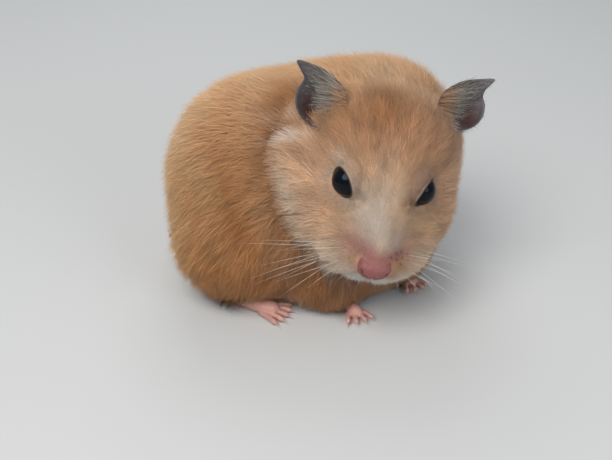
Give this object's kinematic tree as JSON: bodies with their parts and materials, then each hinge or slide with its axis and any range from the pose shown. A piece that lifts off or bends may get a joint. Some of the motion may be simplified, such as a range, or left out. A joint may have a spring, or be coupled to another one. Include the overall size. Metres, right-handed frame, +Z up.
{
  "type": "syrian hamster",
  "caption": "Still, life-size Syrian hamster in golden fur, crouched on the floor with its head turned to its right and bent down.",
  "frame": {"origin": "middle of the animal's box, on the floor it crouches on", "axes": "+Z up; +X along the trunk from the rump to the chest; the head looks towards -Y"},
  "size_m": [0.0796, 0.071, 0.0599],
  "materials": {
    "fur": "soft golden apricot coat with pale tips and grey roots",
    "ear_skin": "thin dark grey skin with a fine short down",
    "nose_skin": "bare dusty pink skin, slightly moist",
    "foot_skin": "bare pink skin",
    "eye": "wet glossy black"
  },
  "bodies": {
    "root": {"head": "fur", "eye_right": "eye", "eye_left": "eye", "nose": "nose_skin", "ear_right": "ear_skin", "ear_left": "ear_skin", "neck": "fur", "trunk": "fur", "tail": "fur", "hindleg_right": "fur", "hindleg_left": "fur", "foreleg_right": "fur", "foreleg_left": "fur", "forefoot_right": "foot_skin", "forefoot_left": "foot_skin", "hindfoot_right": "foot_skin", "hindfoot_left": "foot_skin"}
  },
  "joints": []
}
